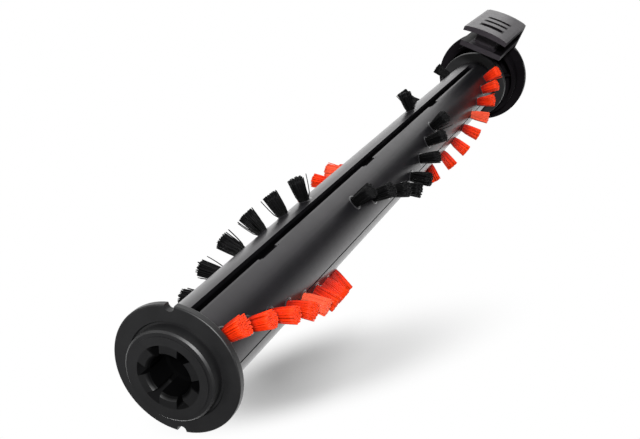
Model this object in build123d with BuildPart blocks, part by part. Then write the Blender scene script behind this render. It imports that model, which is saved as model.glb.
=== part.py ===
from build123d import *
import os
from math import cos, radians, sin

os.makedirs("parts", exist_ok=True)

# Vacuum brush roll, standing on its end cap with the drive socket up.
# The roller axis is Z. The finger tab of the end cap points to -Y.

# Driving dimensions, millimetres and degrees
flange_radius = 15.0
flange_face = 272.3
flange_thickness = 1.8
core_radius = 10.2
core_bore = 5.0
slot_angle = -75.8
fit = 0.05

# Core tube
core_bottom = 20.0
core_top = flange_face - flange_thickness
seat_radius = 8.6
top_seat_depth = 3.4
bottom_seat_depth = 5.0
groove_width = 2.1
groove_depth = 3.4
groove_ends = (25.5, flange_face - 7.8)
ledge_width = 0.95
ledge_depth = 0.6
notch_length = 9.0
notch_depth = 3.4
notch_extra = 0.5
notch_count = 3
notch_first = flange_face - 41.0
notch_pitch = 71.0
seam_turn = 92.0
seam_width = 0.45
seam_depth = 0.25
seam_clear = 1.0

# Drive hub
rim_fillet = 0.35
boss_radius = 10.5
boss_height = 3.0
boss_top = flange_face + boss_height
boss_chamfer = 0.4
boss_step_radius = 9.3
boss_step = 0.25
moat_radius = 11.3
moat_depth = 0.5
moat_slope = 0.3
socket_radius = 7.35
socket_floor = 1.2
tooth_radius = 4.8
tooth_count = 6
tooth_tip_half = 1.9
tooth_root_half = 2.1
tooth_sink = 0.2
tooth_overcut = 1.0
lead_in = 0.8
collar_radius = 10.75
collar_length = 3.4
spigot_length = 16.0
spigot_bore = 3.8
spigot_taper = 0.6
spigot_lead = 1.2
rim_notch_width = 2.3
rim_notch_depth = 1.4
rim_notch_turn = 6.0

# Bristle tufts: each bank is a row of holes on a helix
tuft_radius = 1.5
tuft_tip_radius = 2.35
tuft_hole_radius = tuft_radius + fit
tuft_root = 6.2
tuft_tip = 17.1
tuft_trim = 0.12
bank_size = 8
bank_first = 7.0
bank_pitch = 8.9
bank_turn = 12.3
cap_bank_pitch = 10.4
cap_bank_turn = 14.35
front_turn = 48.0
back_turn = -127.5
back_bank_turn = 14.35
stagger = 6.3
wedge_pitch = 11.1
wedge_turn = 14.6
wedge_apex = 93.3
wedge_back = 177.5
wedge_drop = 124.1
middle = flange_face - wedge_drop
edge_tuft = (-66.0, 27.1)
staple_length = 3.04
staple_height = 1.6
staple_thickness = 0.4
staple_root = 7.0
staple_slack = 0.02

# Ball bearing
bearing_bottom = 10.0
bearing_width = 5.0
bearing_radius = 6.5
bearing_bore = 2.0
bearing_middle = bearing_bottom + bearing_width / 2
ball_count = 7
ball_radius = 1.15
ball_circle = 4.275
ball_slack = 0.05
race_chamfer = 0.25
inner_land = 3.45
outer_land = 5.1
cage_half = 1.5
cage_inner = 3.8
cage_outer = 4.75
shield_inner = 3.65
shield_outer = 5.6
shield_offset = 2.1
shield_thickness = 0.25

# Far plug
plug_bottom = 8.6
housing_radius = 11.5
far_flange_radius = 14.1
far_flange_bottom = 17.0
housing_chamfer = 0.8
plug_bore = 5.6

# Axle, clip, washer and felt ring
axle_radius = 2.0
axle_bottom = 1.0
axle_top = 17.0
axle_chamfer = 0.4
clip_thickness = 0.6
clip_outer = 3.6
clip_inner = 1.55
clip_gap = 2.4
clip_relief = (1.2, 1.1)
clip_relief_place = 2.1
washer_radius = 3.2
washer_thickness = 0.7
felt_inner = 4.7
felt_thickness = 1.0

# End cap
cap_radius = 19.7
cap_wall = 2.8
cup_outer = 16.4
cup_inner = 14.9
cup_top = 9.0
boss_post = 4.1
rib_count = 6
rib_thickness = 1.2
rib_top = 6.0
rib_sink = 0.3
tab_half = 9.3
tab_reach = 29.7
tab_crown = 0.8
tab_bevel = 1.2
tab_bevel_depth = 0.55
tab_thickness = 2.2
tab_length = 41.2
tab_lip = 0.5
wall_root_half = 8.6
wall_root_depth = 3.0
bar_half = 8.9
bar_reach = 22.1
bar_thickness = 2.1
bar_length = 39.0
neck_half = 4.4
neck_length = 33.0
neck_sink = 0.3
grip_places = ((16.2, 2.4), (23.2, 2.4), (31.2, 3.8))
grip_length = 9.6
grip_depth = 1.3


def outward(turn):
    """Direction from the roller axis at a turn measured from the groove."""
    angle = radians(slot_angle - turn)
    return (cos(angle), sin(angle), 0)


def radial_plane(turn, height):
    """Plane on the axis that looks outward, with its x along the roller."""
    return Plane(origin=(0, 0, height), x_dir=(0, 0, 1), z_dir=outward(turn))


def bank_places(first_turn, towards_middle, first=bank_first, turn_step=bank_turn, pitch=bank_pitch):
    """Turn and height of each tuft of a bank that starts at one end."""
    places = []
    for k in range(bank_size):
        drop = first + k * pitch
        height = flange_face - drop if towards_middle < 0 else 2 * middle - flange_face + drop
        places.append((first_turn + k * turn_step, height))
    return places


def wedge_places(apex_turn, apex_height):
    """Turn and height of each tuft of the V-shaped middle bank."""
    places = []
    for k in range(bank_size):
        step = k - (bank_size - 1) / 2
        places.append((apex_turn - abs(step) * wedge_turn, apex_height + step * wedge_pitch))
    return places


back_first = bank_first + stagger
banks = {
    "drive_end_bank_orange": bank_places(front_turn, -1),
    "drive_end_bank_black": bank_places(back_turn, -1, back_first, back_bank_turn),
    "middle_bank_black": wedge_places(wedge_apex, middle),
    "middle_bank_orange": wedge_places(wedge_apex - wedge_back, middle + stagger),
    "cap_end_bank_orange": bank_places(front_turn, 1, bank_first, cap_bank_turn, cap_bank_pitch),
    "cap_end_bank_black": bank_places(back_turn, 1, back_first, back_bank_turn) + [edge_tuft],
}


def core_tube():
    """Moulded tube: groove with its ledge and notches, tuft holes and seats for both ends."""
    across = Plane(origin=(0, 0, 0), x_dir=outward(90), z_dir=(0, 0, 1))
    groove_start, groove_end = groove_ends
    left = -(groove_width + ledge_width) / 2
    middle_of_groove = left + groove_width / 2
    right = left + groove_width
    with BuildPart() as core:
        with BuildSketch(Plane.XY.offset(core_bottom)):
            Circle(core_radius)
            Circle(core_bore, mode=Mode.SUBTRACT)
        extrude(amount=core_top - core_bottom)
        with BuildSketch(Plane.XY.offset(core_bottom)):
            Circle(seat_radius)
        extrude(amount=bottom_seat_depth, mode=Mode.SUBTRACT)
        with BuildSketch(Plane.XY.offset(core_top - top_seat_depth)):
            Circle(seat_radius)
        extrude(amount=top_seat_depth, mode=Mode.SUBTRACT)
        with BuildSketch(across.offset(groove_start)):
            with Locations((middle_of_groove, core_radius)):
                Rectangle(groove_width, 2 * groove_depth)
            with Locations((right + ledge_width / 2, core_radius)):
                Rectangle(ledge_width, 2 * ledge_depth)
        extrude(amount=groove_end - groove_start, mode=Mode.SUBTRACT)
        for k in range(notch_count):
            with BuildSketch(across.offset(notch_first - k * notch_pitch - notch_length / 2)):
                with Locations((right + ledge_width / 2, core_radius)):
                    Rectangle(ledge_width + notch_extra, 2 * notch_depth)
            extrude(amount=notch_length, mode=Mode.SUBTRACT)
        for turn in (seam_turn, seam_turn + 180):
            with BuildSketch(radial_plane(turn, core_bottom).offset(core_radius - seam_depth)):
                with Locations(((core_top - core_bottom) / 2, 0)):
                    Rectangle(core_top - core_bottom, seam_width)
            extrude(amount=seam_clear, mode=Mode.SUBTRACT)
        for places in banks.values():
            for turn, height in places:
                with BuildSketch(radial_plane(turn, height).offset(tuft_root)):
                    Circle(tuft_hole_radius)
                extrude(amount=core_radius, mode=Mode.SUBTRACT)
    return core.part


def drive_hub():
    """Flange, boss and toothed socket in one moulding, with a collar and a spigot for the core."""
    body_radius = seat_radius - fit
    body_bottom = core_top - top_seat_depth
    spigot_radius = core_bore - fit
    spigot_bottom = body_bottom - spigot_length
    floor = body_bottom + socket_floor
    with BuildPart() as hub:
        with BuildSketch(Plane.XZ):
            with BuildLine():
                Polyline(
                    (spigot_bore, spigot_bottom),
                    (spigot_radius - spigot_taper, spigot_bottom),
                    (spigot_radius, spigot_bottom + spigot_lead),
                    (spigot_radius, body_bottom),
                    (body_radius, body_bottom),
                    (body_radius, core_top),
                    (flange_radius, core_top),
                    (flange_radius, flange_face),
                    (moat_radius, flange_face),
                    (moat_radius - moat_slope, flange_face - moat_depth),
                    (boss_radius, flange_face - moat_depth),
                    (boss_radius, boss_top - boss_step - boss_chamfer),
                    (boss_radius - boss_chamfer, boss_top - boss_step),
                    (boss_step_radius, boss_top - boss_step),
                    (boss_step_radius, boss_top),
                    (socket_radius, boss_top),
                    (socket_radius, floor),
                    (spigot_bore, floor),
                    close=True,
                )
            make_face()
        revolve(axis=Axis.Z)
        rim = hub.edges().filter_by(GeomType.CIRCLE).group_by(SortBy.RADIUS)[-1]
        fillet(rim, radius=rim_fillet)
        with BuildSketch(Plane.XY.offset(core_top - collar_length)):
            Circle(collar_radius)
            Circle(core_radius + fit, mode=Mode.SUBTRACT)
        extrude(amount=collar_length)
        along = Plane(origin=(0, 0, floor), x_dir=outward(0), z_dir=(0, 0, 1))
        with BuildSketch(along):
            with PolarLocations(0, tooth_count):
                Polygon(
                    (tooth_radius - tooth_overcut, -tooth_tip_half),
                    (socket_radius + tooth_sink, -tooth_root_half),
                    (socket_radius + tooth_sink, tooth_root_half),
                    (tooth_radius - tooth_overcut, tooth_tip_half),
                    align=None,
                )
            Circle(tooth_radius, mode=Mode.SUBTRACT)
        extrude(amount=boss_top - floor)
        with BuildSketch(Plane.XZ):
            with BuildLine():
                Polyline(
                    (0, boss_top - lead_in),
                    (tooth_radius, boss_top - lead_in),
                    (tooth_radius + lead_in, boss_top),
                    (0, boss_top),
                    close=True,
                )
            make_face()
        revolve(axis=Axis.Z, mode=Mode.SUBTRACT)
        for turn in (-rim_notch_turn, 180 - rim_notch_turn):
            with BuildSketch(Plane(origin=(0, 0, core_top), x_dir=outward(turn), z_dir=(0, 0, 1))):
                with Locations((flange_radius, 0)):
                    SlotOverall(2 * rim_notch_depth, rim_notch_width)
            extrude(amount=flange_thickness, mode=Mode.SUBTRACT)
    return hub.part


def tuft_bank(places):
    """Bundles of filament, folded under a staple and flared to tips cut on one cylinder."""
    with BuildPart() as bank:
        for turn, height in places:
            with Locations(radial_plane(turn, height).offset(tuft_root)):
                Cylinder(
                    tuft_radius,
                    core_radius - tuft_root,
                    align=(Align.CENTER, Align.CENTER, Align.MIN),
                )
            with Locations(radial_plane(turn, height).offset(core_radius)):
                Cone(
                    tuft_radius,
                    tuft_tip_radius,
                    tuft_tip - core_radius,
                    align=(Align.CENTER, Align.CENTER, Align.MIN),
                )
        top = max(height for turn, height in places) + flange_radius
        with Locations((0, 0, top / 2)):
            Cylinder(tuft_tip - tuft_trim, top, mode=Mode.INTERSECT)
        for turn, height in places:
            with Locations(radial_plane(turn, height).offset(staple_root)):
                Box(
                    staple_length * 2,
                    staple_thickness + 2 * staple_slack,
                    staple_height + 2 * staple_slack,
                    mode=Mode.SUBTRACT,
                )
    return bank.part


def tuft_staples():
    """Flat wire anchors, one across the root of each tuft."""
    with BuildPart() as staples:
        for places in banks.values():
            for turn, height in places:
                with Locations(radial_plane(turn, height).offset(staple_root)):
                    Box(staple_length, staple_thickness, staple_height)
    return staples.part


def far_plug():
    """Flanged plug that closes the core and holds the bearing in its pocket."""
    shoulder = bearing_bottom + bearing_width
    flange_top = core_bottom
    with BuildPart() as plug:
        with BuildSketch(Plane.XZ):
            with BuildLine():
                Polyline(
                    (bearing_radius + fit, plug_bottom),
                    (housing_radius - housing_chamfer, plug_bottom),
                    (housing_radius, plug_bottom + housing_chamfer),
                    (housing_radius, far_flange_bottom),
                    (far_flange_radius, far_flange_bottom),
                    (far_flange_radius, flange_top),
                    (seat_radius - fit, flange_top),
                    (seat_radius - fit, flange_top + bottom_seat_depth),
                    (plug_bore, flange_top + bottom_seat_depth),
                    (plug_bore, shoulder),
                    (bearing_radius + fit, shoulder),
                    close=True,
                )
            make_face()
        revolve(axis=Axis.Z)
        rim = plug.edges().filter_by(GeomType.CIRCLE).group_by(SortBy.RADIUS)[-1]
        fillet(rim, radius=rim_fillet)
    return plug.part


def race(inner, outer, has_recesses):
    """Bearing ring with a ball track and, on the outer ring, a recess for each shield."""
    corner_radius = outer if has_recesses else inner
    with BuildPart() as ring:
        with BuildSketch(Plane.XY.offset(bearing_bottom)):
            Circle(outer)
            Circle(inner, mode=Mode.SUBTRACT)
        extrude(amount=bearing_width)
        sizes = ring.edges().filter_by(GeomType.CIRCLE).group_by(SortBy.RADIUS)
        chamfer(sizes[-1] if corner_radius == outer else sizes[0], length=race_chamfer)
        with Locations((0, 0, bearing_middle)):
            Torus(ball_circle, ball_radius + ball_slack, mode=Mode.SUBTRACT)
        if has_recesses:
            for side in (-1, 1):
                with Locations((0, 0, bearing_middle + side * bearing_width / 2)):
                    Cylinder(
                        shield_outer + ball_slack,
                        bearing_width - 2 * shield_offset,
                        mode=Mode.SUBTRACT,
                    )
    return ring.part


def bearing_balls():
    """Ring of balls on the pitch circle."""
    with BuildPart() as balls:
        with Locations((0, 0, bearing_middle)):
            with PolarLocations(ball_circle, ball_count):
                Sphere(ball_radius)
    return balls.part


def ball_cage():
    """Ring between the races with one pocket for each ball."""
    with BuildPart() as cage:
        with BuildSketch(Plane.XY.offset(bearing_middle - cage_half)):
            Circle(cage_outer)
            Circle(cage_inner, mode=Mode.SUBTRACT)
        extrude(amount=2 * cage_half)
        with Locations((0, 0, bearing_middle)):
            with PolarLocations(ball_circle, ball_count):
                Cylinder(
                    ball_radius + ball_slack,
                    2 * (cage_outer - cage_inner),
                    rotation=(0, 90, 0),
                    mode=Mode.SUBTRACT,
                )
    return cage.part


def shield(side):
    """Thin washer in the recess of the outer race."""
    near_face = bearing_middle + side * shield_offset
    with BuildPart() as plate:
        with BuildSketch(Plane.XY.offset(near_face)):
            Circle(shield_outer)
            Circle(shield_inner, mode=Mode.SUBTRACT)
        extrude(amount=side * shield_thickness)
    return plate.part


def stub_axle():
    """Steel pin set in the end cap, with a groove for the clip."""
    groove_bottom = bearing_bottom + bearing_width
    with BuildPart() as axle:
        with BuildSketch(Plane.XY.offset(axle_bottom)):
            Circle(axle_radius - ball_slack / 2)
        extrude(amount=axle_top - axle_bottom)
        chamfer(axle.faces().sort_by(Axis.Z)[-1].edges(), length=axle_chamfer)
        with BuildSketch(Plane.XY.offset(groove_bottom)):
            Circle(axle_radius)
            Circle(clip_inner - fit, mode=Mode.SUBTRACT)
        extrude(amount=clip_thickness + fit, mode=Mode.SUBTRACT)
    return axle.part


def axle_clip():
    """Open retaining clip in the groove of the axle, against the inner race."""
    with BuildPart() as clip:
        with BuildSketch(Plane.XY.offset(bearing_bottom + bearing_width)):
            Circle(clip_outer)
            with Locations((clip_outer / 2, 0)):
                Rectangle(clip_outer, clip_gap, mode=Mode.SUBTRACT)
            with PolarLocations(clip_relief_place, 2, start_angle=90):
                Rectangle(*clip_relief, mode=Mode.SUBTRACT)
            Circle(clip_inner, mode=Mode.SUBTRACT)
        extrude(amount=clip_thickness)
    return clip.part


def spacer_washer():
    """Washer between the post of the end cap and the inner race."""
    with BuildPart() as washer:
        with BuildSketch(Plane.XY.offset(bearing_bottom - washer_thickness)):
            Circle(washer_radius)
            Circle(axle_radius, mode=Mode.SUBTRACT)
        extrude(amount=washer_thickness)
    return washer.part


def dust_felt():
    """Felt ring in the mouth of the bearing pocket, against the outer race."""
    with BuildPart() as felt:
        with BuildSketch(Plane.XY.offset(bearing_bottom - felt_thickness)):
            Circle(bearing_radius)
            Circle(felt_inner, mode=Mode.SUBTRACT)
        extrude(amount=felt_thickness)
    return felt.part


def tab_outline(half, reach, crown, thickness):
    """Cross-section of a plate with a slightly crowned outer face and two bevelled edges."""
    edge = half - tab_bevel
    shoulder = crown - reach
    inside = crown - reach + thickness
    with BuildSketch() as outline:
        with BuildLine():
            ThreePointArc((-edge, shoulder), (0, -reach), (edge, shoulder))
            Polyline((edge, shoulder), (half, shoulder + tab_bevel_depth), (half, inside))
            ThreePointArc((half, inside), (0, thickness - reach), (-half, inside))
            Polyline((-half, inside), (-half, shoulder + tab_bevel_depth), (-edge, shoulder))
        make_face()
    return outline.sketch


def end_cap():
    """One moulding: round wall, cup, ribbed axle post, finger tab, neck and cross bar."""
    post_top = bearing_bottom - washer_thickness
    tab_inside = tab_thickness - tab_reach
    plate_section = tab_outline(tab_half, tab_reach, tab_crown, tab_thickness)
    with BuildPart() as cap:
        with BuildSketch():
            Circle(cap_radius)
            Polygon(
                (-tab_half, tab_crown + tab_inside - tab_lip),
                (tab_half, tab_crown + tab_inside - tab_lip),
                (wall_root_half, wall_root_depth - cap_radius),
                (-wall_root_half, wall_root_depth - cap_radius),
                align=None,
            )
        extrude(amount=cap_wall)
        with BuildSketch(Plane.XY.offset(cap_wall)):
            Circle(cup_outer)
            Circle(cup_inner, mode=Mode.SUBTRACT)
        extrude(amount=cup_top - cap_wall)
        with BuildSketch(Plane.XY.offset(cap_wall)):
            Circle(boss_post)
        extrude(amount=post_top - cap_wall)
        with BuildSketch(Plane.XY.offset(cap_wall)):
            with PolarLocations((boss_post + cup_inner) / 2, rib_count, start_angle=90):
                Rectangle(cup_inner - boss_post + 2 * rib_sink, rib_thickness)
        extrude(amount=rib_top - cap_wall)
        with BuildSketch(Plane.XY.offset(axle_bottom)):
            Circle(axle_radius)
        extrude(amount=post_top - axle_bottom, mode=Mode.SUBTRACT)
        add(extrude(plate_section, amount=tab_length, dir=(0, 0, 1), mode=Mode.PRIVATE))
        with BuildSketch(Plane.XY.offset(cap_wall)):
            with Locations((0, (tab_inside - bar_reach) / 2)):
                Rectangle(2 * neck_half, -tab_inside - bar_reach + 2 * neck_sink)
        extrude(amount=neck_length - cap_wall)
        with BuildSketch(Plane.XY.offset(cap_wall)):
            with Locations((0, -bar_reach + bar_thickness / 2)):
                Rectangle(2 * bar_half, bar_thickness)
        extrude(amount=bar_length - cap_wall)
        for height, width in grip_places:
            with BuildSketch(Plane.XZ.offset(tab_reach - grip_depth)):
                with Locations((0, height)):
                    SlotOverall(grip_length, width)
            extrude(amount=2 * grip_depth, mode=Mode.SUBTRACT)
    return cap.part


pieces = {
    "core_tube": core_tube(),
    "drive_hub": drive_hub(),
    "tuft_staples": tuft_staples(),
    "far_plug": far_plug(),
    "bearing_outer_race": race(outer_land, bearing_radius, has_recesses=True),
    "bearing_inner_race": race(bearing_bore, inner_land, has_recesses=False),
    "bearing_balls": bearing_balls(),
    "ball_cage": ball_cage(),
    "roller_side_shield": shield(1),
    "cap_side_shield": shield(-1),
    "stub_axle": stub_axle(),
    "axle_clip": axle_clip(),
    "spacer_washer": spacer_washer(),
    "dust_felt": dust_felt(),
    "end_cap": end_cap(),
}
for name, places in banks.items():
    pieces[name] = tuft_bank(places)

for name, piece in pieces.items():
    piece.label = name
    export_step(piece, f"parts/{name}.step")
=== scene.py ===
from math import cos, radians, sin, tau

import bpy
import numpy as np
from mathutils import Matrix, Vector


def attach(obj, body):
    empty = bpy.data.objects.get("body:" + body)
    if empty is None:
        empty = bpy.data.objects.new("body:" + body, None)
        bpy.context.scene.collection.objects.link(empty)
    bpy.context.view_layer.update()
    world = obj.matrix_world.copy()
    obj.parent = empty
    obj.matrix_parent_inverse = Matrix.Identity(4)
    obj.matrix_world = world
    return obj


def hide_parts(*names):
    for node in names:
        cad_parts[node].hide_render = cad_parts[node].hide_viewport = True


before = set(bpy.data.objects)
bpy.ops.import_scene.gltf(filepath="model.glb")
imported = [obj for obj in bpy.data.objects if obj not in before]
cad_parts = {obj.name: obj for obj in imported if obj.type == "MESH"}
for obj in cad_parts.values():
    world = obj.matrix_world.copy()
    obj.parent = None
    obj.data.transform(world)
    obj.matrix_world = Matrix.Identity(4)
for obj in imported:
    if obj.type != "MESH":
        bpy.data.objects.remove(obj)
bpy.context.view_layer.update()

MM = 0.001
UP = np.array((0.0, 0.0, 1.0))
rng = np.random.default_rng(11)

# Sizes shared with the part's source, in millimetres and degrees
flange_face = 272.3
core_radius = 10.2
slot_angle = -75.8
tuft_root = 6.2
tuft_tip = 17.1
bank_size = 8
bank_first, bank_pitch, bank_turn = 7.0, 8.9, 12.3
cap_bank_pitch, cap_bank_turn = 10.4, 14.35
front_turn = 48.0
back_turn, back_bank_turn, stagger = -127.5, 14.35, 6.3
wedge_pitch, wedge_turn, wedge_apex, wedge_back = 11.1, 14.6, 93.3, 177.5
middle = flange_face - 124.1
edge_tuft = (-66.0, 27.1)

# Height and width of each grip slot of the finger tab, and their half length
grip_places = ((16.2, 2.4), (23.2, 2.4), (31.2, 3.8))
grip_half = 4.8

# Parts of the end cap given painted shade: inside the grip slots and a thin rim round them, and beside the
# neck behind the tab
grip_rim = 0.45
grip_depths = (-29.8, -28.3)
neck_depths = (-26.75, -22.05)
neck_half = 5.5

# Painted shade in recesses, drawn darker and less glossy: what lies nearer the axis than a radius and below
# a height (the core's groove, notches and holes, the hub's socket, and the end cap's disc)
core_painted_shade = (core_radius - 0.8, 1000.0)
hub_painted_shade = (7.5, flange_face + 3.3)
cap_painted_shade = (20.6, 12.0)
# Width of the painted shade's soft edge, and the gloss and share of colour left in the painted shade
shade_edge = 0.8
shade_gloss = 0.03
shade_share = 0.25


def bank_places(first_turn, drive_end, first=bank_first, turn_step=bank_turn, pitch=bank_pitch):
    """Turn and height of each tuft in a bank that starts at one end of the core."""
    places = []
    for k in range(bank_size):
        drop = first + k * pitch
        height = flange_face - drop if drive_end else 2 * middle - flange_face + drop
        places.append((first_turn + k * turn_step, height))
    return places


def wedge_places(apex_turn, apex_height):
    """Turn and height of each tuft in a bank that comes to a point half way along."""
    places = []
    for k in range(bank_size):
        step = k - (bank_size - 1) / 2
        places.append((apex_turn - abs(step) * wedge_turn, apex_height + step * wedge_pitch))
    return places


back_first = bank_first + stagger
banks = {
    "drive_end_bank_orange": bank_places(front_turn, True),
    "drive_end_bank_black": bank_places(back_turn, True, back_first, back_bank_turn),
    "middle_bank_black": wedge_places(wedge_apex, middle),
    "middle_bank_orange": wedge_places(wedge_apex - wedge_back, middle + stagger),
    "cap_end_bank_orange": bank_places(front_turn, False, bank_first, cap_bank_turn, cap_bank_pitch),
    "cap_end_bank_black": bank_places(back_turn, False, back_first, back_bank_turn) + [edge_tuft],
}


def add_object(name, data):
    """Puts a new object with this data into the scene."""
    made = bpy.data.objects.new(name, data)
    bpy.context.scene.collection.objects.link(made)
    return made


# Materials

def node(tree, kind, **values):
    """A new node with its properties set."""
    made = tree.nodes.new(kind)
    for name, value in values.items():
        setattr(made, name, value)
    return made


def base_material(name):
    """A new material with its node tree and its shader."""
    material = bpy.data.materials.new(name)
    material.use_nodes = True
    tree = material.node_tree
    shader = tree.nodes["Principled BSDF"]
    return material, tree, shader


def bare_tree(owner):
    """The emptied node tree of a material or a world."""
    owner.use_nodes = True
    owner.node_tree.nodes.clear()
    return owner.node_tree


def noise(tree, scale, detail=3.0, roughness=0.5, distortion=0.0):
    """Noise that stays fixed to the object."""
    place = node(tree, "ShaderNodeTexCoord")
    made = node(tree, "ShaderNodeTexNoise")
    made.inputs["Scale"].default_value = scale
    made.inputs["Detail"].default_value = detail
    made.inputs["Roughness"].default_value = roughness
    made.inputs["Distortion"].default_value = distortion
    tree.links.new(place.outputs["Object"], made.inputs["Vector"])
    return made


def ramp(tree, source, stops):
    """Colours along a value, from pairs of a position and a colour."""
    made = node(tree, "ShaderNodeValToRGB")
    elements = made.color_ramp.elements
    while len(elements) < len(stops):
        elements.new(0.5)
    for element, (position, colour) in zip(elements, stops):
        element.position = position
        element.color = (*colour, 1.0)
    tree.links.new(source, made.inputs["Fac"])
    return made


def span(tree, source, low, high, start=0.0, end=1.0):
    """Goes from low to high while the source goes from start to end."""
    made = node(tree, "ShaderNodeMapRange")
    made.inputs["From Min"].default_value = start
    made.inputs["From Max"].default_value = end
    made.inputs["To Min"].default_value = low
    made.inputs["To Max"].default_value = high
    tree.links.new(source, made.inputs["Value"])
    return made


def maths(tree, operation, first, second, clamp=False):
    """One operation on two values, each of them a socket or a number."""
    made = node(tree, "ShaderNodeMath", operation=operation, use_clamp=clamp)
    for value, entry in zip((first, second), made.inputs):
        if isinstance(value, bpy.types.NodeSocket):
            tree.links.new(value, entry)
        else:
            entry.default_value = value
    return made.outputs[0]


def bump(tree, shader, source, strength, distance, under=None):
    """Fine relief on a shader, over another bump where one is given."""
    made = node(tree, "ShaderNodeBump")
    made.inputs["Strength"].default_value = strength
    made.inputs["Distance"].default_value = distance
    tree.links.new(source, made.inputs["Height"])
    if under is not None:
        tree.links.new(under.outputs["Normal"], made.inputs["Normal"])
    tree.links.new(made.outputs["Normal"], shader.inputs["Normal"])
    return made


def unshaded_share(tree, radius, height):
    """Nought where shade is painted, for what lies nearer the axis than a radius and below a height, and one
    elsewhere.
    """
    place = node(tree, "ShaderNodeTexCoord")
    flat = node(tree, "ShaderNodeVectorMath", operation="MULTIPLY")
    flat.inputs[1].default_value = (1.0, 1.0, 0.0)
    tree.links.new(place.outputs["Object"], flat.inputs[0])
    reach = node(tree, "ShaderNodeVectorMath", operation="LENGTH")
    tree.links.new(flat.outputs["Vector"], reach.inputs[0])
    parts = node(tree, "ShaderNodeSeparateXYZ")
    tree.links.new(place.outputs["Object"], parts.inputs[0])
    outside = span(tree, reach.outputs["Value"], 0.0, 1.0, (radius - shade_edge) * MM, radius * MM)
    above = span(tree, parts.outputs["Z"], 0.0, 1.0, (height - shade_edge) * MM, height * MM)
    return maths(tree, "MAXIMUM", outside.outputs["Result"], above.outputs["Result"])


def between(tree, source, low, high):
    """One where a place lies between two others, in millimetres, and nought elsewhere."""
    above = maths(tree, "GREATER_THAN", source, low * MM)
    below = maths(tree, "LESS_THAN", source, high * MM)
    return maths(tree, "MULTIPLY", above, below)


def grip_painted_shade(tree, unshaded_part):
    """Nought where shade is painted, deep in the grip slots and a thin rim round them and beside the neck of
    the finger tab, and the value given elsewhere.
    """
    place = node(tree, "ShaderNodeTexCoord")
    parts = node(tree, "ShaderNodeSeparateXYZ")
    tree.links.new(place.outputs["Object"], parts.inputs[0])
    across, depth, level = parts.outputs["X"], parts.outputs["Y"], parts.outputs["Z"]
    side = grip_half + grip_rim
    slot = maths(tree, "MULTIPLY", between(tree, across, -side, side), between(tree, depth, *grip_depths))
    rows = 0.0
    for height, width in grip_places:
        reach = width / 2 + grip_rim
        rows = maths(tree, "ADD", between(tree, level, height - reach, height + reach), rows)
    inside = maths(tree, "MULTIPLY", slot, rows)
    gap = between(tree, depth, *neck_depths)
    neck = between(tree, across, -neck_half, neck_half)
    beside = maths(tree, "SUBTRACT", gap, neck, clamp=True)
    dark = maths(tree, "MAXIMUM", inside, beside)
    return maths(tree, "SUBTRACT", unshaded_part, dark, clamp=True)


def moulded_plastic(
    name, dark, light, rough, grain, tint=(1.0, 1.0, 1.0, 1.0), sheen=0.5, painted_shade=None, shade_grips=False
):
    """Moulded plastic: faint flow clouds, fine grain, a few scuffs, and painted shade, darker and less
    glossy, where a place for it is given.
    """
    material, tree, shader = base_material(name)
    clouds = noise(tree, 90.0, detail=4.0, roughness=0.6, distortion=0.4)
    shade = ramp(tree, clouds.outputs["Fac"], [(0.3, dark), (0.75, light)])
    scuffs = noise(tree, 420.0, detail=5.0, roughness=0.65, distortion=0.8)
    polish = span(tree, scuffs.outputs["Fac"], rough[0], rough[1])
    tree.links.new(polish.outputs["Result"], shader.inputs["Roughness"])
    soft = noise(tree, 140.0, detail=2.0)
    waves = bump(tree, shader, soft.outputs["Fac"], 0.25, 0.00012)
    fine = noise(tree, 4200.0, detail=2.0, roughness=0.6)
    bump(tree, shader, fine.outputs["Fac"], grain, 0.00004, waves)
    shader.inputs["Specular Tint"].default_value = tint
    shader.inputs["Specular IOR Level"].default_value = sheen
    if painted_shade is None:
        tree.links.new(shade.outputs["Color"], shader.inputs["Base Color"])
    else:
        # Painted shade: the colour is dimmed and the gloss lowered where the mask is nought
        unshaded_part = unshaded_share(tree, *painted_shade)
        if shade_grips:
            unshaded_part = grip_painted_shade(tree, unshaded_part)
        shaded_gloss = span(tree, unshaded_part, shade_gloss, sheen)
        tree.links.new(shaded_gloss.outputs["Result"], shader.inputs["Specular IOR Level"])
        amount = span(tree, unshaded_part, shade_share, 1.0)
        shaded_colour = node(tree, "ShaderNodeVectorMath", operation="SCALE")
        tree.links.new(shade.outputs["Color"], shaded_colour.inputs[0])
        tree.links.new(amount.outputs["Result"], shaded_colour.inputs["Scale"])
        tree.links.new(shaded_colour.outputs["Vector"], shader.inputs["Base Color"])
    return material


def steel(name, colour, rough, turned=False):
    """Ground steel, or turned steel with fine marks round the axis."""
    material, tree, shader = base_material(name)
    shader.inputs["Metallic"].default_value = 1.0
    marks = noise(tree, 900.0, detail=4.0, roughness=0.7)
    dark = tuple(0.8 * part for part in colour)
    shade = ramp(tree, marks.outputs["Fac"], [(0.25, dark), (0.75, colour)])
    tree.links.new(shade.outputs["Color"], shader.inputs["Base Color"])
    polish = span(tree, marks.outputs["Fac"], rough * 0.75, rough * 1.35)
    tree.links.new(polish.outputs["Result"], shader.inputs["Roughness"])
    if turned:
        wave = node(tree, "ShaderNodeTexWave", wave_type="RINGS", rings_direction="Z")
        wave.inputs["Scale"].default_value = 2600.0
        wave.inputs["Distortion"].default_value = 0.6
        place = node(tree, "ShaderNodeTexCoord")
        tree.links.new(place.outputs["Object"], wave.inputs["Vector"])
        bump(tree, shader, wave.outputs["Fac"], 0.15, 0.00002)
    else:
        bump(tree, shader, marks.outputs["Fac"], 0.1, 0.00003)
    return material


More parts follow.
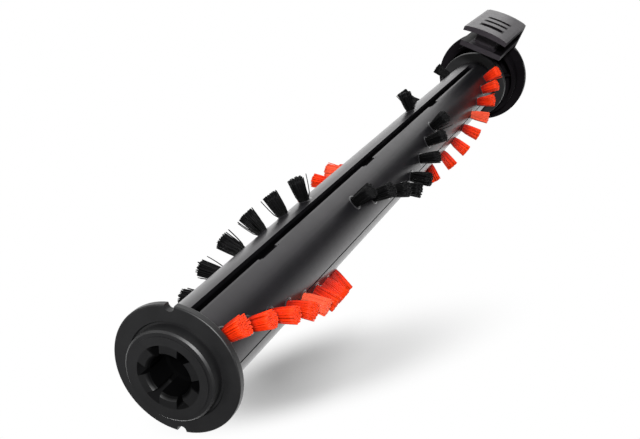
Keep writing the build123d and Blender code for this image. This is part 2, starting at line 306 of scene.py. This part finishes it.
def bristle(name, root, body, tip, pale, rough, sheen):
    """Nylon filament: tone by filament, painted shade toward the root and a painted highlight at the tip,
    paler where the tuft is a paler lot.
    """
    material, tree, shader = base_material(name)
    along = node(tree, "ShaderNodeAttribute", attribute_name="along")
    tone = node(tree, "ShaderNodeAttribute", attribute_name="tone")
    lot = node(tree, "ShaderNodeAttribute", attribute_name="lot")
    # Painted shade toward the root and a painted highlight at the tip
    shade_along_length = ramp(tree, along.outputs["Fac"], [(0.3, root), (0.6, body), (0.97, tip)])
    brightness = span(tree, tone.outputs["Fac"], 0.72, 1.22)
    toned = node(tree, "ShaderNodeVectorMath", operation="SCALE")
    tree.links.new(shade_along_length.outputs["Color"], toned.inputs[0])
    tree.links.new(brightness.outputs["Result"], toned.inputs["Scale"])
    mixed = node(tree, "ShaderNodeMix", data_type="RGBA")
    tree.links.new(lot.outputs["Fac"], mixed.inputs["Factor"])
    tree.links.new(toned.outputs["Vector"], mixed.inputs["A"])
    mixed.inputs["B"].default_value = (*pale, 1.0)
    tree.links.new(mixed.outputs["Result"], shader.inputs["Base Color"])
    polish = span(tree, tone.outputs["Fac"], rough * 0.85, rough * 1.2)
    tree.links.new(polish.outputs["Result"], shader.inputs["Roughness"])
    shader.inputs["Specular IOR Level"].default_value = sheen
    return material


def felt(name, colour):
    """Rough pressed fibres."""
    material, tree, shader = base_material(name)
    fibres = noise(tree, 2600.0, detail=6.0, roughness=0.75, distortion=1.5)
    dark = tuple(0.5 * part for part in colour)
    shade = ramp(tree, fibres.outputs["Fac"], [(0.3, dark), (0.7, colour)])
    tree.links.new(shade.outputs["Color"], shader.inputs["Base Color"])
    shader.inputs["Roughness"].default_value = 0.95
    shader.inputs["Sheen Weight"].default_value = 0.4
    bump(tree, shader, fibres.outputs["Fac"], 0.8, 0.0002)
    return material


looks = {
    "black_core": moulded_plastic(
        "core_plastic", (0.004, 0.004, 0.0045), (0.008, 0.0075, 0.009), (0.30, 0.40), 0.12,
        tint=(1.0, 0.95, 0.98, 1.0), sheen=0.27, painted_shade=core_painted_shade,
    ),
    "black_hub": moulded_plastic(
        "hub_plastic", (0.003, 0.003, 0.0033), (0.006, 0.006, 0.0064), (0.42, 0.54), 0.15,
        sheen=0.36, painted_shade=hub_painted_shade,
    ),
    "black_cap": moulded_plastic(
        "cap_plastic", (0.010, 0.0085, 0.0105), (0.018, 0.0155, 0.0185), (0.32, 0.5), 0.25,
        tint=(1.0, 0.93, 0.98, 1.0), sheen=0.30, painted_shade=cap_painted_shade, shade_grips=True,
    ),
    # Roots darker and tips lighter than the body: painted shade deep in the tufts and a painted highlight on
    # the cut ends
    "orange_bristle": bristle(
        "orange_nylon",
        root=(0.21, 0.0045, 0.0008),
        body=(0.47, 0.0145, 0.0008),
        tip=(0.56, 0.027, 0.0018),
        pale=(0.62, 0.095, 0.045),
        rough=0.5,
        sheen=0.13,
    ),
    "black_bristle": bristle(
        "black_nylon",
        root=(0.001, 0.001, 0.001),
        body=(0.0014, 0.0014, 0.0015),
        tip=(0.0024, 0.0024, 0.0026),
        pale=(0.02, 0.02, 0.02),
        rough=0.45,
        sheen=0.06,
    ),
    "staple_steel": steel("staple_metal", (0.62, 0.60, 0.56), 0.34),
    "bearing_steel": steel("race_metal", (0.66, 0.66, 0.67), 0.2, turned=True),
    "shield_steel": steel("shield_metal", (0.55, 0.55, 0.56), 0.3),
    "axle_steel": steel("axle_metal", (0.60, 0.60, 0.61), 0.27, turned=True),
    "cage_nylon": moulded_plastic("cage_plastic", (0.55, 0.50, 0.40), (0.68, 0.63, 0.52), (0.4, 0.55), 0.2),
    "grey_felt": felt("felt_fibre", (0.16, 0.16, 0.155)),
}


def dress(name, slot):
    """Gives a solid of the frame its finish."""
    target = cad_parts[name]
    target.data.materials.clear()
    target.data.materials.append(looks[slot])


finish_of = {
    "core_tube": "black_core",
    "drive_hub": "black_hub",
    "far_plug": "black_hub",
    "end_cap": "black_cap",
    "tuft_staples": "staple_steel",
    "bearing_outer_race": "bearing_steel",
    "bearing_inner_race": "bearing_steel",
    "bearing_balls": "bearing_steel",
    "ball_cage": "cage_nylon",
    "roller_side_shield": "shield_steel",
    "cap_side_shield": "shield_steel",
    "stub_axle": "axle_steel",
    "axle_clip": "axle_steel",
    "spacer_washer": "axle_steel",
    "dust_felt": "grey_felt",
}
for name, slot in finish_of.items():
    dress(name, slot)


# Tufts of single filaments, in millimetres

FILAMENTS = 170
SIDES = 4
RINGS = 6
GOLDEN_TURN = 2.39996
filament_radius = 0.165
filament_taper = (1.05, 0.85)
tuft_spread = 1.38
root_lift = 0.2
root_scatter = 0.03
lean_scatter = 0.16
splay_scatter = 0.07
stray_scatter = 0.75
flare_usual = 0.56
flare_range = (-0.06, 0.08)
bend_power = 0.55
tip_gap = 0.12

# How uneven the tips of a tuft are, and the share of its filaments that stray
orange_wear = (0.14, 0.015)
black_wear = (0.34, 0.05)

# The paler tuft of a bank, and how pale it is
pale_tufts = {"drive_end_bank_orange": 4, "middle_bank_orange": 3, "cap_end_bank_orange": 3}
pale_share = 0.55

# How many tufts of a bank lean, from its first one on, and how far their tips lean
leaning_tufts = {"drive_end_bank_orange": 2}
tip_lean = 0.9


def hole_axes(turn):
    """Directions outward and sideways at a tuft hole."""
    angle = radians(slot_angle - turn)
    out = np.array((cos(angle), sin(angle), 0.0))
    return out, np.cross(UP, out)


def tuft_lines(turn, height, ragged, stray_share, tilt):
    """Centre lines of a tuft's filaments, in millimetres."""
    out, side = hole_axes(turn)
    index = np.arange(FILAMENTS)
    radius = tuft_spread * np.sqrt((index + 0.5) / FILAMENTS)
    spin = index * GOLDEN_TURN + rng.uniform(0, tau)
    root = np.stack((radius * np.cos(spin), radius * np.sin(spin)), axis=1)
    root += rng.normal(0, root_scatter, root.shape)
    lean = rng.normal(0, lean_scatter, 2) + np.array((tilt, 0.0))
    splay = rng.normal(0, splay_scatter, root.shape)
    stray = rng.random(FILAMENTS) < stray_share
    splay[stray] += rng.normal(0, stray_scatter, (int(stray.sum()), 2))
    flare = flare_usual + rng.uniform(*flare_range)
    ends = root * (1 + flare) + lean + splay
    tip = tuft_tip - tip_gap - np.abs(rng.normal(0, ragged, FILAMENTS))
    lines = np.zeros((FILAMENTS, RINGS, 3))
    for ring in range(RINGS):
        share = max(0, ring - 1) / (RINGS - 2)
        if ring:
            reach = core_radius + (tip - core_radius) * share
        else:
            reach = np.full(FILAMENTS, tuft_root + root_lift)
        bend = share ** bend_power
        across = root * (1 - bend) + ends * bend
        reach = np.sqrt(np.maximum(reach ** 2 - across[:, 1] ** 2 * (share > 0), 1.0))
        lines[:, ring] = reach[:, None] * out + across[:, :1] * UP + across[:, 1:] * side + height * UP
    return lines


def tube_points(lines):
    """Rings of points round each centre line."""
    forward = np.gradient(lines, axis=1)
    forward /= np.linalg.norm(forward, axis=2, keepdims=True)
    first = np.cross(forward, UP)
    first /= np.linalg.norm(first, axis=2, keepdims=True)
    second = np.cross(forward, first)
    turnings = rng.uniform(0, tau, len(lines))
    width = filament_radius * MM * np.linspace(*filament_taper, RINGS)[None, :, None]
    rings = []
    for side in range(SIDES):
        angle = turnings[:, None, None] + tau * side / SIDES
        rings.append(lines + width * (np.cos(angle) * first + np.sin(angle) * second))
    return np.stack(rings, axis=2).reshape(-1, 3)


def tube_faces(count):
    """Faces between the rings of each filament, and one over its tip."""
    pattern = []
    for ring in range(RINGS - 1):
        near, far = ring * SIDES, (ring + 1) * SIDES
        for side in range(SIDES):
            follow = (side + 1) % SIDES
            pattern.append((near + side, near + follow, far + follow, far + side))
    pattern.append(tuple((RINGS - 1) * SIDES + side for side in range(SIDES)))
    starts = np.arange(count)[:, None, None] * RINGS * SIDES
    return (np.array(pattern)[None] + starts).reshape(-1, 4)


def bank_mesh(name, places, slot, wear):
    """A bank of tufts as one mesh, in the place of its solids."""
    lines, lots = [], []
    for k, (turn, height) in enumerate(places):
        tilt = tip_lean if k < leaning_tufts.get(name, 0) else 0.0
        lines.append(tuft_lines(turn, height, *wear, tilt))
        lots.append(np.full(FILAMENTS, pale_share if pale_tufts.get(name) == k else 0.0))
    lines = np.concatenate(lines) * MM
    count = len(lines)
    tones = rng.random(count)
    points = tube_points(lines)
    mesh = bpy.data.meshes.new(name + "_filaments")
    mesh.from_pydata(points.tolist(), [], tube_faces(count).tolist())
    values_of = {
        "along": np.tile(np.repeat(np.linspace(0, 1, RINGS), SIDES), count),
        "tone": np.repeat(tones, RINGS * SIDES),
        "lot": np.repeat(np.concatenate(lots), RINGS * SIDES),
    }
    for label, values in values_of.items():
        layer = mesh.attributes.new(label, "FLOAT", "POINT")
        layer.data.foreach_set("value", values.astype(np.float32))
    mesh.shade_smooth()
    mesh.materials.append(looks[slot])
    piece = add_object(name + "_filaments", mesh)
    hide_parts(name)
    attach(piece, "roller")


for name, places in banks.items():
    if name.endswith("orange"):
        bank_mesh(name, places, "orange_bristle", orange_wear)
    else:
        bank_mesh(name, places, "black_bristle", black_wear)


# Moulded lips of the tuft holes: distance from the hole's middle and height above the core

RIM_SIDES = 28
rim_section = ((1.6, 0.0), (1.75, 0.13), (2.0, 0.12), (2.3, -0.03))


def rim_points(turn, height):
    """Rings of points round one tuft hole, lying on the core."""
    out, side = hole_axes(turn)
    spin = np.linspace(0, tau, RIM_SIDES, endpoint=False)
    rings = []
    for radius, lift in rim_section:
        along, across = radius * np.cos(spin), radius * np.sin(spin)
        reach = np.sqrt((core_radius + lift) ** 2 - across ** 2)
        rings.append(reach[:, None] * out + along[:, None] * UP + across[:, None] * side + height * UP)
    return np.concatenate(rings)


points, faces = [], []
for places in banks.values():
    for turn, height in places:
        start = RIM_SIDES * len(rim_section) * len(points)
        points.append(rim_points(turn, height))
        for ring in range(len(rim_section) - 1):
            near, far = start + ring * RIM_SIDES, start + (ring + 1) * RIM_SIDES
            for k in range(RIM_SIDES):
                follow = (k + 1) % RIM_SIDES
                faces.append((near + k, near + follow, far + follow, far + k))
mesh = bpy.data.meshes.new("tuft_hole_lips")
mesh.from_pydata((np.concatenate(points) * MM).tolist(), [], faces)
mesh.shade_smooth()
# The lips' plastic is a lighter copy of the core's plastic: a painted highlight along the rims of the tuft
# holes
lip_highlight_plastic = moulded_plastic("lip_highlight_plastic", (0.012, 0.012, 0.013), (0.022, 0.021, 0.023), (0.2, 0.3), 0.1)
mesh.materials.append(lip_highlight_plastic)
lips = add_object("tuft_hole_lips", mesh)
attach(lips, "roller")


# Stage, lights and camera, in metres

# The painted soft shadow on the floor: middle, half sizes, and turn in degrees
painted_shadow_place = (0.0211, 0.1955, 0.0)
painted_shadow_size = (0.13, 0.025, 1.0)
painted_shadow_turn = 49.3


def floor_material():
    """White paper, with grey paper as a painted soft shadow, where the lamps' own shadow of the hub also
    falls.
    """
    material = bpy.data.materials.new("floor_paper")
    tree = bare_tree(material)
    output = node(tree, "ShaderNodeOutputMaterial")
    paper = node(tree, "ShaderNodeBsdfDiffuse")
    white = node(tree, "ShaderNodeEmission")
    white.inputs["Color"].default_value = (1, 1, 1, 1)
    light = node(tree, "ShaderNodeLightPath")
    glow = span(tree, light.outputs["Is Glossy Ray"], 1.0, 2.0)
    tree.links.new(glow.outputs["Result"], white.inputs["Strength"])

    # How far out a place lies: nought in the middle of the painted soft shadow and one at its edge
    place = node(tree, "ShaderNodeNewGeometry")
    painted_shadow = node(tree, "ShaderNodeMapping", vector_type="TEXTURE")
    tree.links.new(place.outputs["Position"], painted_shadow.inputs["Vector"])
    painted_shadow.inputs["Location"].default_value = painted_shadow_place
    painted_shadow.inputs["Rotation"].default_value = (0.0, 0.0, radians(painted_shadow_turn))
    painted_shadow.inputs["Scale"].default_value = painted_shadow_size
    reach = node(tree, "ShaderNodeVectorMath", operation="LENGTH")
    tree.links.new(painted_shadow.outputs["Vector"], reach.inputs[0])

    # The paper's tone, darker toward the middle as a painted shadow, which light that bounces off it doesn't
    # follow
    tone = span(tree, reach.outputs["Value"], 0.46, 0.62, start=0.3, end=1.1)
    bounce = span(tree, light.outputs["Is Camera Ray"], 0.72, 1.0)
    tree.links.new(tone.outputs["Result"], bounce.inputs["To Max"])
    tree.links.new(bounce.outputs["Result"], paper.inputs["Color"])

    # White outside the painted soft shadow, which hides the lamps' shadows there, and bright in reflections
    brighten = span(tree, reach.outputs["Value"], 0.0, 1.0, start=0.4, end=1.15)
    brighten.interpolation_type = "SMOOTHSTEP"
    polish = span(tree, light.outputs["Is Glossy Ray"], 0.0, 0.8)
    share = node(tree, "ShaderNodeMath", operation="MULTIPLY_ADD")
    tree.links.new(light.outputs["Is Camera Ray"], share.inputs[0])
    tree.links.new(brighten.outputs["Result"], share.inputs[1])
    tree.links.new(polish.outputs["Result"], share.inputs[2])
    mix = node(tree, "ShaderNodeMixShader")
    tree.links.new(share.outputs[0], mix.inputs["Fac"])
    tree.links.new(paper.outputs[0], mix.inputs[1])
    tree.links.new(white.outputs[0], mix.inputs[2])
    tree.links.new(mix.outputs[0], output.inputs["Surface"])
    return material


mesh = bpy.data.meshes.new("floor")
mesh.from_pydata([(-4, -4, 0), (4, -4, 0), (4, 4, 0), (-4, 4, 0)], [], [(0, 1, 2, 3)])
mesh.materials.append(floor_material())
floor = add_object("floor", mesh)
floor.location.z = -0.0002

# A dark card that only reflections meet gives the roller its dark band, a painted reflection
card = bpy.data.materials.new("painted_dark_reflection")
tree = bare_tree(card)
cover = node(tree, "ShaderNodeAttribute", attribute_name="cover")
clear = node(tree, "ShaderNodeBsdfTransparent")
reflected_dark = node(tree, "ShaderNodeBsdfDiffuse")
reflected_dark.inputs["Color"].default_value = (0.012, 0.012, 0.012, 1)
fade = node(tree, "ShaderNodeMixShader")
output = node(tree, "ShaderNodeOutputMaterial")
tree.links.new(cover.outputs["Fac"], fade.inputs["Fac"])
tree.links.new(clear.outputs[0], fade.inputs[1])
tree.links.new(reflected_dark.outputs[0], fade.inputs[2])
tree.links.new(fade.outputs[0], output.inputs["Surface"])

# The card is a fan on the floor: the turn of each edge in degrees, and how much it covers there
card_edges = ((-78, 0.0), (-98, 0.5), (-118, 0.95), (-142, 1.0), (-160, 0.65), (-178, 0.3), (-198, 0.0))
card_radii = (0.02, 0.6)
corners, covers, faces = [], [], []
for k, (turn, amount) in enumerate(card_edges):
    for radius in card_radii:
        corners.append((radius * cos(radians(turn)), radius * sin(radians(turn)), 0.0))
        covers.append(amount)
    if k:
        faces.append((2 * k - 2, 2 * k - 1, 2 * k + 1, 2 * k))
mesh = bpy.data.meshes.new("card")
mesh.from_pydata(corners, [], faces)
layer = mesh.attributes.new("cover", "FLOAT", "POINT")
layer.data.foreach_set("value", covers)
mesh.materials.append(card)
reflection_only_card = add_object("card", mesh)
reflection_only_card.location.z = 0.001
reflection_only_card.visible_camera = False
reflection_only_card.visible_diffuse = False
reflection_only_card.visible_shadow = False
reflection_only_card.visible_transmission = False

# White to the camera, and dim as a light
world = bpy.data.worlds.new("studio")
bpy.context.scene.world = world
tree = bare_tree(world)
output = node(tree, "ShaderNodeOutputWorld")
backdrop = node(tree, "ShaderNodeBackground")
backdrop.inputs["Color"].default_value = (1, 1, 1, 1)
light = node(tree, "ShaderNodeLightPath")
level = span(tree, light.outputs["Is Camera Ray"], 0.1, 1.0)
tree.links.new(level.outputs["Result"], backdrop.inputs["Strength"])
tree.links.new(backdrop.outputs[0], output.inputs["Surface"])


def softbox(name, place, target, width, height, power):
    """A rectangular lamp turned to a target."""
    data = bpy.data.lights.new(name, "AREA")
    data.shape = "RECTANGLE"
    data.size, data.size_y = width, height
    data.energy = power
    lamp = add_object(name, data)
    lamp.location = place
    lamp.rotation_mode = "QUATERNION"
    lamp.rotation_quaternion = (Vector(target) - Vector(place)).to_track_quat("-Z", "Y")


aim = (0.0, 0.0, 0.14)
softbox("key", (-0.14, -0.76, 0.95), aim, width=0.5, height=0.5, power=0.5)
softbox("spot", (-0.143, -0.567, 0.95), aim, width=0.14, height=0.14, power=21)
softbox("side", (0.75, -0.30, 0.55), aim, width=0.5, height=0.7, power=2.4)
softbox("back", (0.62, 0.36, 0.95), aim, width=0.4, height=0.4, power=1.4)
softbox("rear", (0.30, 0.95, 0.08), aim, width=0.5, height=0.14, power=2.2)
softbox("left", (-0.95, 0.10, 0.08), aim, width=0.5, height=0.14, power=1.6)

# The camera fitted to the photo: focal length and width in pixels, axes and place
focal_pixels = 910
photo_width = 640
right = Vector((-0.876912, -0.288673, -0.384307))
above = Vector((0.429729, -0.829030, -0.357829))
ahead = Vector((0.215307, 0.478933, -0.851038))
camera_data = bpy.data.cameras.new("camera")
camera_data.sensor_width = 36.0
camera_data.lens = focal_pixels * camera_data.sensor_width / photo_width
camera_data.clip_start, camera_data.clip_end = 0.02, 20
camera = add_object("camera", camera_data)
camera.matrix_world = Matrix((
    (right.x, above.x, -ahead.x, -0.05298),
    (right.y, above.y, -ahead.y, -0.12392),
    (right.z, above.z, -ahead.z, 0.40897),
    (0, 0, 0, 1),
))
bpy.context.scene.camera = camera
bpy.context.scene.view_settings.view_transform = "Standard"
